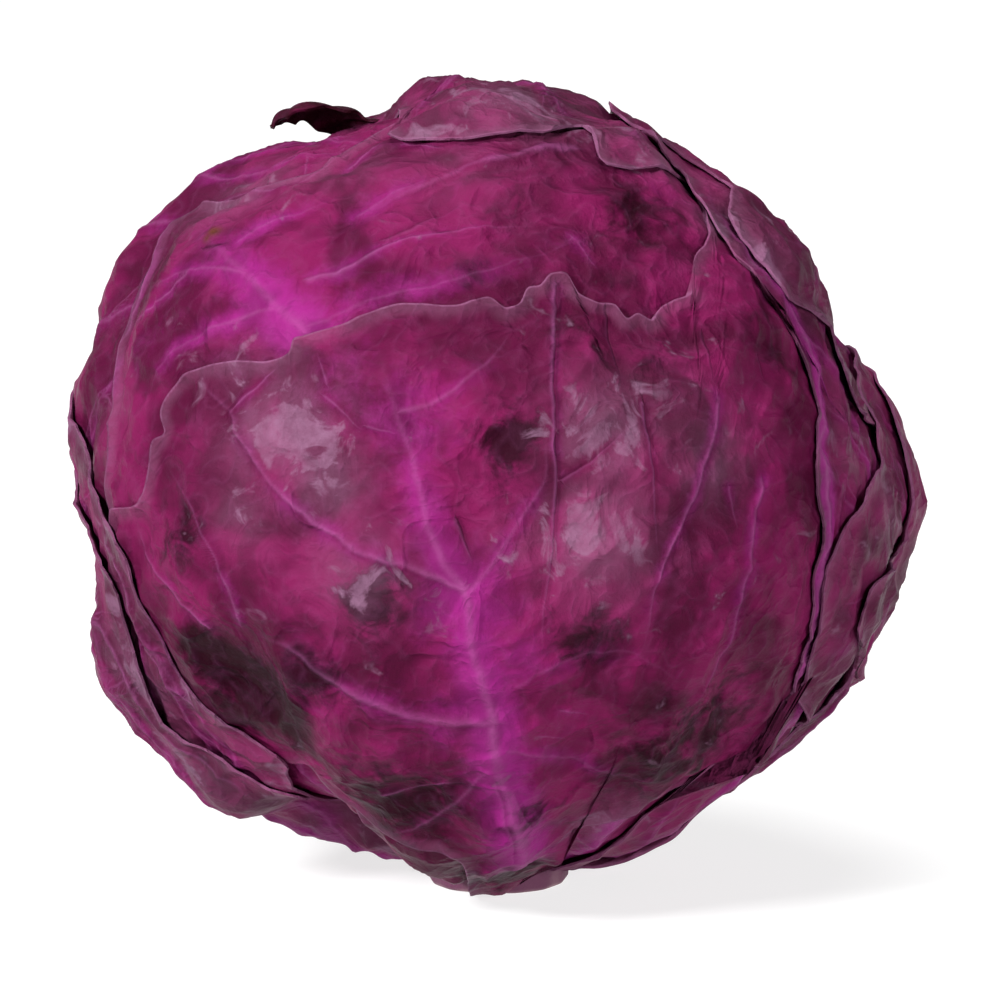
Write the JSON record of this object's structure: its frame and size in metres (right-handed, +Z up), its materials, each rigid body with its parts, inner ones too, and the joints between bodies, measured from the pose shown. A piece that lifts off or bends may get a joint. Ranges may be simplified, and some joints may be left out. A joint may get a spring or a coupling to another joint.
{
  "type": "red cabbage head",
  "caption": "Head of red cabbage, about 170 mm across, standing on its cut stem, with loose veined wrapper leaves round a tight heart.",
  "frame": {"origin": "middle of the stem's cut face, on which the head stands", "axes": "+Z up along the stem through the middle of the head, -Y to the front, +X to the right seen from the front"},
  "size_m": [0.1723, 0.1713, 0.1657],
  "materials": {
    "leaf": "satin",
    "stem": "matte"
  },
  "bodies": {
    "root": {"stem": "stem", "heart": "leaf", "leaf_crown_left": "leaf", "leaf_low_left": "leaf", "leaf_low_right": "leaf", "leaf_upper_left": "leaf", "leaf_crown_back": "leaf", "leaf_front": "leaf", "leaf_left": "leaf", "leaf_left_low": "leaf", "leaf_right": "leaf", "leaf_upper_right": "leaf", "leaf_right_low": "leaf", "leaf_far_right": "leaf", "leaf_back": "leaf"}
  },
  "joints": []
}
